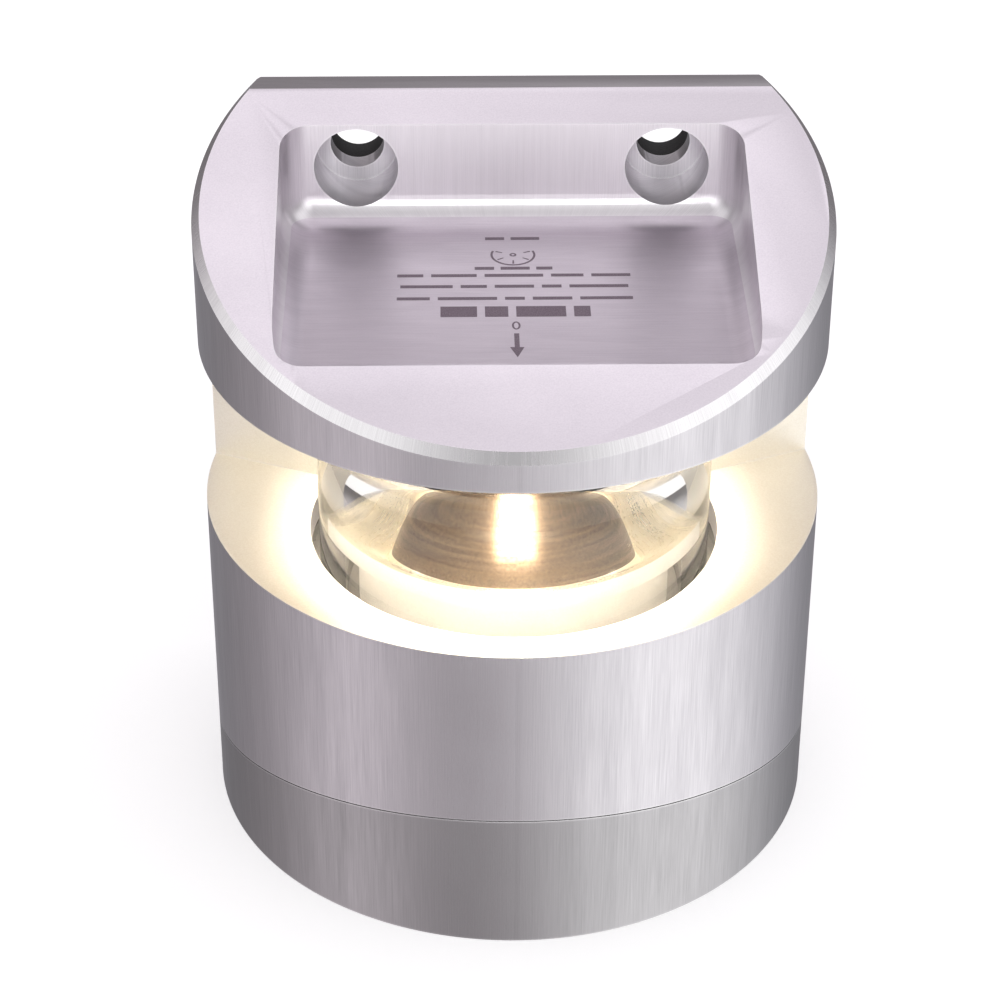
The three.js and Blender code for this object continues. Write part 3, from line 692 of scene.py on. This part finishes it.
# The sector, its ticks and its centre.
sector_y, half_sector = 4.8, 112.5
mark_arc(0, sector_y, 3.5, 3.5, width=0.35, start=-half_sector, end=half_sector, steps=30)
for degrees in (-half_sector, -half_sector / 2, 0, half_sector / 2, half_sector):
    mark_arc(0, sector_y, 2.9, 2.9, width=1.1, start=degrees - 3, end=degrees + 3, steps=1)
mark_arc(0, sector_y, 0.55, 0.55, width=0.3, start=0, end=360, steps=16)

# The bars in place of wording.
mark_row(-13.3, 3.2, (5.5, 3.5, 7.5, 2.5))
mark_row(-9.2, 0.9, (5, 9, 3, 6, 8))
mark_row(-5.4, 0.9, (8, 4, 6, 3, 9))
mark_row(-1.9, 0.9, (4, 7, 9, 5, 6))
mark_row(0.4, 0.9, (3, 4.5, 2.5), space=1)
mark_row(10.2, 0.9, (3, 4.5), space=1)
marks = from_bmesh("pocket_marks", mark_form)
ink, tree, shader = new_material("laser_mark")
grain = use(tree, blasted_grain, Grain_Size=0.0002, Cloud_Size=0.004)
tree.links.new(tint(tree, spread(tree, grain["Grain"], 0, 1), (0.11, 0.08, 0.105), (0.22, 0.17, 0.21)),
               shader.inputs["Base Color"])
tree.links.new(spread(tree, grain["Clouds"], 0.55, 0.75), shader.inputs["Roughness"])
bump(tree, shader, grain["Grain"], 0.00001)
marks.data.materials.append(ink)
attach(marks, "root")


# ---- Cable gland -----------------------------------------------------------------------------
# A nylon gland in the middle of the mounting side. Its body goes in from the back, a nut holds it
# inside the cavity, and a rubber seal grips the cable in its mouth.

def turned_ring(name, profile, y=0.0, x=0.0, sides=160):
    """A ring turned about an upright axis, from a closed section."""
    return loft(name, [circle(r, z, y, x, sides) for r, z in profile], close=True)


def smooth(piece, angle=35):
    """Shades the piece as round, up to edges sharper than this."""
    for face in piece.data.polygons:
        face.use_smooth = True
    piece.data.set_sharp_from_angle(angle=math.radians(angle))


gland_low, gland_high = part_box("cable_gland_body")
gland_r, gland_face_y = gland_high.x, gland_high.y
thread_r, cable_r, mouth_r = 5 * mm, 3.3 * mm, 5.6 * mm
flange_y, seal_y = gland_low.y + 9.6 * mm, gland_face_y - 2.2 * mm
lip_round, mouth_break, thread_break = 0.9 * mm, 0.4 * mm, 0.4 * mm
gland = turned_ring("gland_body", [
    (cable_r, gland_low.y), (thread_r - thread_break, gland_low.y), (thread_r, gland_low.y + 0.5 * mm),
    (thread_r, flange_y), (gland_r, flange_y), (gland_r, gland_face_y - lip_round),
    (gland_r - 0.25 * mm, gland_face_y - 0.3 * mm), (gland_r - lip_round, gland_face_y),
    (mouth_r + mouth_break, gland_face_y), (mouth_r, gland_face_y - mouth_break), (mouth_r, seal_y),
    (cable_r, seal_y),
], sides=96)
lying(gland, 0, entry_z)
smooth(gland)


def moulded(name, dark, light, rough, depth=0.00001):
    """A dull surface with an uneven sheen and a fine grain, as moulded plastic or rubber has."""
    look, tree, shader = new_material(name)
    grain = use(tree, blasted_grain, Grain_Size=0.0003, Cloud_Size=0.008)
    mixed = blend(tree, grain["Grain"], grain["Clouds"], 0.5)
    tree.links.new(tint(tree, spread(tree, mixed, 0, 1), dark, light), shader.inputs["Base Color"])
    tree.links.new(spread(tree, mixed, rough + 0.07, rough - 0.07), shader.inputs["Roughness"])
    bump(tree, shader, grain["Grain"], depth)
    return look


def dress(look, *names):
    """Gives these CAD pieces this material."""
    for name in names:
        cad_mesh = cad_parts[name].data
        cad_mesh.materials.clear()
        cad_mesh.materials.append(look)


nylon = moulded("black_nylon", (0.012, 0.012, 0.014), (0.030, 0.030, 0.033), 0.45)
rubber = moulded("black_rubber", (0.010, 0.010, 0.011), (0.022, 0.022, 0.023), 0.6, depth=0.00003)
gland.data.materials.append(nylon)
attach(gland, "root")
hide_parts("cable_gland_body")
dress(nylon, "cable_gland_nut")
dress(rubber, "cable_gland_seal")


# ---- Lens and its seals ----------------------------------------------------------------------
# A clear acrylic drum, turned and polished. Its flange lies under the deck, and its wall swells
# inwards to a waist, which gathers the light. A rubber ring seals it at the top and at the flange.

lens_r, flange_r, foot_r, waist_r = 30.7 * mm, 34 * mm, 26.8 * mm, 20.6 * mm
foot_z, flange_z, lens_top_z = 44.9 * mm, 47.6 * mm, 85.2 * mm
bulge_low_z, bulge_high_z = 56.5 * mm, 84 * mm
bulge_steps = 32
bulge = []
for i in range(bulge_steps + 1):
    t = i / bulge_steps
    bulge.append((foot_r - (foot_r - waist_r) * math.sin(t * math.pi),
                  bulge_low_z + t * (bulge_high_z - bulge_low_z)))
lens = turned_ring("drum_lens", [
    (foot_r, foot_z), (flange_r, foot_z), (flange_r, flange_z), (lens_r, flange_z),
    (lens_r, lens_top_z), (foot_r, lens_top_z), *reversed(bulge),
], y=optic_y, sides=200)
smooth(lens)
acrylic, tree, shader = new_material(
    "clear_acrylic", IOR=1.49, Transmission_Weight=1.0, Base_Color=(1.0, 0.985, 0.95, 1)
)
haze = use(tree, blasted_grain, Grain_Size=0.0008, Cloud_Size=0.012)
tree.links.new(spread(tree, haze["Clouds"], 0.0, 0.03), shader.inputs["Roughness"])
lens.data.materials.append(acrylic)
lens.visible_shadow = False
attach(lens, "root")
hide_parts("lens")
dress(rubber, "lens_upper_o_ring", "lens_lower_o_ring")


# ---- Reflector horn --------------------------------------------------------------------------
# A steep cone turned from aluminium, which stands in a shallow polished dish. The LEDs above
# shine down on it, and it turns their light to the horizon. A socket screw holds it from below.

dish_r, dish_rim_z, dish_depth = 24.6 * mm, 58.7 * mm, 3 * mm
dish_lip, dish_floor = 0.4 * mm, 0.8 * mm
cone_r, cone_foot_z, cone_top_r, cone_top_z = 16.6 * mm, 57.0 * mm, 9.2 * mm, 85.5 * mm
head_room_r, head_room_z = 4.5 * mm, 50.9 * mm
dish_steps = 16
dish = []
for i in range(dish_steps + 1):
    lean = math.pi / 2 * i / dish_steps
    dish.append((dish_r - dish_lip - (dish_r - cone_r - dish_lip - dish_floor) * math.sin(lean),
                 dish_rim_z - dish_depth * (1 - math.cos(lean))))
horn = turned_ring("reflector_horn_body", [
    (horn_screw_r, head_room_z), (head_room_r, head_room_z), (head_room_r, foot_z), (dish_r, foot_z),
    (dish_r, dish_rim_z), *dish, (cone_r, cone_foot_z), (cone_top_r, cone_top_z),
    (horn_screw_r, cone_top_z),
], y=optic_y, sides=200)
smooth(horn)

# Rings that a lathe tool leaves, about an upright axis.
lathe_rings, given, result = new_group(
    "lathe_rings", {"Pitch": 0.0003, "Axis Y": -0.011}, {"Rings": "Float", "Speckle": "Float"}
)
place = node(lathe_rings, "TexCoord").outputs["Object"]
split = node(lathe_rings, "SeparateXYZ", (0, place))
off_y = maths(lathe_rings, "SUBTRACT", split.outputs["Y"], given.outputs["Axis Y"])
across_r = maths(lathe_rings, "SQRT", maths(lathe_rings, "ADD",
                 maths(lathe_rings, "MULTIPLY", split.outputs["X"], split.outputs["X"]),
                 maths(lathe_rings, "MULTIPLY", off_y, off_y)))
along = maths(lathe_rings, "ADD", across_r, split.outputs["Z"])
turns = maths(lathe_rings, "DIVIDE", along, given.outputs["Pitch"])
turn_angle = maths(lathe_rings, "ARCTAN2", split.outputs["X"], off_y)
ring_place = node(lathe_rings, "CombineXYZ", (0, turns), (1, turn_angle))
rings = node(lathe_rings, "TexNoise", ("Vector", ring_place.outputs[0]), ("Scale", 0.6),
             ("Detail", 2.0))
spots = node(lathe_rings, "TexNoise", ("Vector", place), ("Scale", 3000.0), ("Detail", 1.0))
lathe_rings.links.new(rings.outputs["Fac"], result.inputs["Rings"])
lathe_rings.links.new(spots.outputs["Fac"], result.inputs["Speckle"])


def turned_metal(name, dark, light, rough):
    """Bare metal from the lathe, with its rings and a fine speckle."""
    look, tree, shader = new_material(name, Metallic=1.0)
    rings = use(tree, lathe_rings)
    mixed = blend(tree, rings["Rings"], rings["Speckle"], 0.6)
    tree.links.new(tint(tree, spread(tree, mixed, 0, 1), dark, light), shader.inputs["Base Color"])
    tree.links.new(spread(tree, mixed, rough + 0.08, rough - 0.08), shader.inputs["Roughness"])
    bump(tree, shader, mixed, 0.000006)
    return look


horn_looks = [
    # The cone's dark brown colour is a painted reflection of the dark surroundings in its turned
    # aluminium; its lathe rings are real.
    turned_metal("turned_cone_painted_dark_reflection", (0.035, 0.025, 0.018), (0.20, 0.145, 0.10), 0.4),
    # The dish's cream colour is painted warm light from the LEDs; its lathe rings are real.
    turned_metal("polished_dish_painted_warm_light", (0.84, 0.78, 0.66), (0.95, 0.90, 0.80), 0.3),
    # The side's plain white, non-metal finish is painted glow, for LED light carried down through the
    # lens; the horn itself is aluminium.
    moulded("side_painted_glow", (0.80, 0.78, 0.74), (0.92, 0.90, 0.86), 0.5),
]
cone_zone, dish_zone, side_zone = range(3)
for look in horn_looks:
    horn.data.materials.append(look)
for face in horn.data.polygons:
    from_axis = math.hypot(face.center.x, face.center.y - optic_y)
    if from_axis > dish_r - dish_lip / 2:
        face.material_index = side_zone
    elif from_axis > cone_r or face.center.z < cone_foot_z - 0.5 * mm:
        face.material_index = dish_zone
    else:
        face.material_index = cone_zone
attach(horn, "root")
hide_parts("reflector_horn")
steel = blasted_metal("stainless_steel", (0.42, 0.41, 0.40), (0.60, 0.59, 0.57), 0.3)
dress(steel, "reflector_screw")


# ---- LEDs ------------------------------------------------------------------------------------
# Seven white LEDs on a metal-cored board under the plate, facing down at the horn, with a soft
# silicone pad above the board and two leads that come up through the horn.

led_look, tree, shader = new_material(
    "lit_led", Base_Color=(1.0, 0.9, 0.7, 1), Roughness=0.2, Emission_Strength=60.0
)
phosphor = use(tree, blasted_grain, Grain_Size=0.0002, Cloud_Size=0.002)
yellow_light, white_light = (0.92, 0.76, 0.52), (1.0, 0.90, 0.68)
tree.links.new(tint(tree, spread(tree, phosphor["Clouds"], 0, 1), yellow_light, white_light),
               shader.inputs["Emission Color"])
led_case = moulded("led_ceramic", (0.72, 0.70, 0.66), (0.86, 0.84, 0.80), 0.4)
led_ring_r, led_board_z = 20 * mm, 85.8 * mm
led_half, led_thick, led_break = 1.75 * mm, 1 * mm, 0.15 * mm
dome_r, dome_height, dome_sunk = 1.3 * mm, 0.91 * mm, 0.2 * mm
led_turns = [math.radians(37.5 * step) for step in range(-3, 4)]
led_ways = [Vector((math.sin(turn), -math.cos(turn), 0)) for turn in led_turns]
for i, (turn, outwards) in enumerate(zip(led_turns, led_ways)):
    package = slab(f"led_{i + 1}_package", (-led_half, -led_half, -led_thick), (led_half, led_half, 0))
    break_edges(package, led_break)
    apply_modifiers(package)
    dome = [(dome_r * math.cos(math.radians(a)), -led_thick - dome_height * math.sin(math.radians(a)))
            for a in range(0, 90, 6)]
    cut(package, turned("dome", [(dome_r, dome_sunk - led_thick), *dome], sides=48), join=True)
    package.data.transform(
        Matrix.Translation(outwards * led_ring_r + Vector((0, optic_y, led_board_z)))
        @ Matrix.Rotation(turn, 4, "Z")
    )
    smooth(package)
    package.data.materials.append(led_case)
    package.data.materials.append(led_look)
    for face in package.data.polygons:
        if face.center.z < led_board_z - led_thick - 0.01 * mm:
            face.material_index = 1
    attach(package, "root")
    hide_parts(f"led_{i + 1}")
dress(moulded("white_mask", (0.80, 0.78, 0.74), (0.88, 0.86, 0.82), 0.45), "led_board")
dress(moulded("grey_silicone", (0.26, 0.31, 0.36), (0.34, 0.39, 0.45), 0.75), "thermal_pad")
dress(moulded("red_insulation", (0.34, 0.012, 0.010), (0.42, 0.020, 0.015), 0.4),
      "led_lead_positive")
dress(moulded("black_insulation", (0.010, 0.010, 0.010), (0.020, 0.020, 0.020), 0.4),
      "led_lead_negative")

# The LEDs' own light: down onto the horn, and out through the gap in front of the drum.
led_colour, glare_colour = (1.0, 0.91, 0.75), (1.0, 0.60, 0.26)
beam_z, beam_size, beam_spread = 83.5 * mm, 4 * mm, math.radians(75)
beam_watts, middle_beam_watts = 0.015, 0.024
gap_r, gap_z, gap_size = 32.5 * mm, 80 * mm, (10 * mm, 4 * mm)
gap_watts, gap_least, gap_falloff = 0.0034, 0.22, 1.3
down, optic_centre = Vector((0, 0, -1)), Vector((0, optic_y, 0))
for i, (turn, outwards) in enumerate(zip(led_turns, led_ways)):
    # Straight down from the LED, where the middle one is the brightest.
    inside = optic_centre + outwards * led_ring_r - down * beam_z
    watts = middle_beam_watts if turn == 0 else beam_watts
    beam = soft_box(f"led_beam_{i + 1}", inside, inside + down * 0.02, (beam_size, beam_size),
                    watts, led_colour)
    beam.data.spread = beam_spread

    # Outwards and down through the gap, weaker towards the sides.
    outside = optic_centre + outwards * gap_r - down * gap_z
    watts = gap_watts * max(gap_least, math.cos(turn)) ** gap_falloff
    glare = soft_box(f"gap_glow_{i + 1}", outside, outside + outwards * 0.012 + down * 0.02,
                     gap_size, watts, glare_colour)
    glare.visible_glossy = False
    for lamp in (beam, glare):
        lamp.visible_camera = False
        lamp.visible_transmission = False

# The brightest light on the cone, from a lamp close in front of its middle.
cone_size, cone_watts = (8 * mm, 18 * mm), 0.022
cone_face = optic_centre + Vector((0, -14 * mm, 72 * mm))
cone_glare = soft_box("cone_glare", cone_face - Vector((0, 5 * mm, 0)), cone_face, cone_size,
                      cone_watts, led_colour)
cone_glare.visible_camera = False
cone_glare.visible_transmission = False


# ---- Clamp ring and electronics --------------------------------------------------------------
# An aluminium ring clamps the lens up against the deck. The driver board hangs from it on three
# spacers, with its choke and capacitors below and the supply terminals on top.

dress(turned_metal("turned_ring", (0.50, 0.49, 0.49), (0.66, 0.65, 0.65), 0.34), "lens_clamp_ring")
dress(steel, *(f"board_standoff_{i}" for i in (1, 2, 3)), *(f"board_screw_{i}" for i in (1, 2, 3)))
dress(moulded("green_mask", (0.016, 0.085, 0.035), (0.026, 0.125, 0.055), 0.35), "driver_board")
dress(moulded("ferrite", (0.030, 0.028, 0.026), (0.055, 0.052, 0.048), 0.65), "inductor")
dress(moulded("capacitor_sleeve", (0.018, 0.022, 0.034), (0.028, 0.033, 0.050), 0.3),
      "capacitor_1", "capacitor_2")
dress(moulded("terminal_plastic", (0.020, 0.150, 0.070), (0.030, 0.200, 0.100), 0.45), "terminal_block")


# ---- Bottom cover ----------------------------------------------------------------------------
# A wedge of the same bar, held up against the housing by four countersunk socket screws. Its
# round spigot goes up into the cavity and carries a rubber ring.

cover = loft("bottom_cover_body", [
    sloped(body_outline(body_r), 0, 0),
    sloped(body_outline(body_r), seam_axis_z - seam_gap / 2, seam_slope),
])
spigot_r, spigot_top_z, cup_r, cup_floor_z = 34.2 * mm, 27.5 * mm, 29.6 * mm, 6 * mm
cover_clear_z = 40 * mm  # above the whole cover
cut(cover, turned("spigot", [(spigot_r, overlap), (spigot_r, spigot_top_z)], y=optic_y), join=True)
cut(cover, turned("cup", [(cup_r, cup_floor_z), (cup_r, cover_clear_z)], y=optic_y))
sink_r, sink_depth = 4.3 * mm, 2.6 * mm
for x, y in cover_screws:
    sink = [(sink_r, -overlap), (sink_r, 0), (cover_hole_r, sink_depth), (cover_hole_r, cover_clear_z)]
    cut(cover, turned("countersink", sink, y=y, x=x, sides=48))
break_edges(cover, edge_break)
cover.data.materials.append(
    wall_metal("anodised_cover", (0.42, 0.41, 0.42), (0.56, 0.545, 0.56), 0.36)
)
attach(cover, "root")
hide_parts("bottom_cover")
dress(rubber, "cover_o_ring")

# The cover screws: the broken edge and cone of the head, the shank and its end, and the hexagon
# socket.
screw_edge_r, screw_head_r, screw_shank_r, screw_end_r = 3.7 * mm, 3.8 * mm, 2 * mm, 1.5 * mm
screw_edge, screw_head, screw_end = 0.12 * mm, 2.1 * mm, 0.5 * mm
socket_r, socket_depth = 1.44 * mm, 1.4 * mm
for i, (x, y) in enumerate(cover_screws):
    screw_low, screw_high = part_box(f"cover_screw_{i + 1}")
    screw = turned(f"cover_screw_{i + 1}_body", [
        (screw_edge_r, screw_low.z), (screw_head_r, screw_low.z + screw_edge),
        (screw_shank_r, screw_low.z + screw_head), (screw_shank_r, screw_high.z - screw_end),
        (screw_end_r, screw_high.z),
    ], y=y, x=x, sides=48)
    hexagon = [circle(socket_r, z, y, x, sides=6) for z in (-overlap, screw_low.z + socket_depth)]
    cut(screw, loft("socket", hexagon))
    smooth(screw)
    screw.data.materials.append(steel)
    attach(screw, "root")
    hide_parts(f"cover_screw_{i + 1}")


# ---- Rear pad --------------------------------------------------------------------------------
# A moulded rubber pad that keeps the aluminium off the mast, with holes for the two screws and
# the cable gland.

pad_low, pad_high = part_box("rear_pad")
pad_corner, pad_edge, gland_hole_r = 7 * mm, 0.4 * mm, 8.6 * mm
pad_outline = rounded_rectangle(pad_low.x, pad_high.x, pad_low.z, pad_high.z, pad_corner, steps=12)
pad = loft("rear_pad_body", [[(x, y, z) for x, z in pad_outline] for y in (back_y, pad_high.y)])
pad_holes = [(-screw_x, screw_z, shank_r), (screw_x, screw_z, shank_r), (0, entry_z, gland_hole_r)]
for x, z, radius in pad_holes:
    profile = [(radius, 20 * mm), (radius, hole_end_y)]
    cut(pad, lying(turned("pad_hole", profile, sides=64), x, z))
break_edges(pad, pad_edge, segments=3)
pad.data.materials.append(rubber)
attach(pad, "root")
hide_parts("rear_pad")
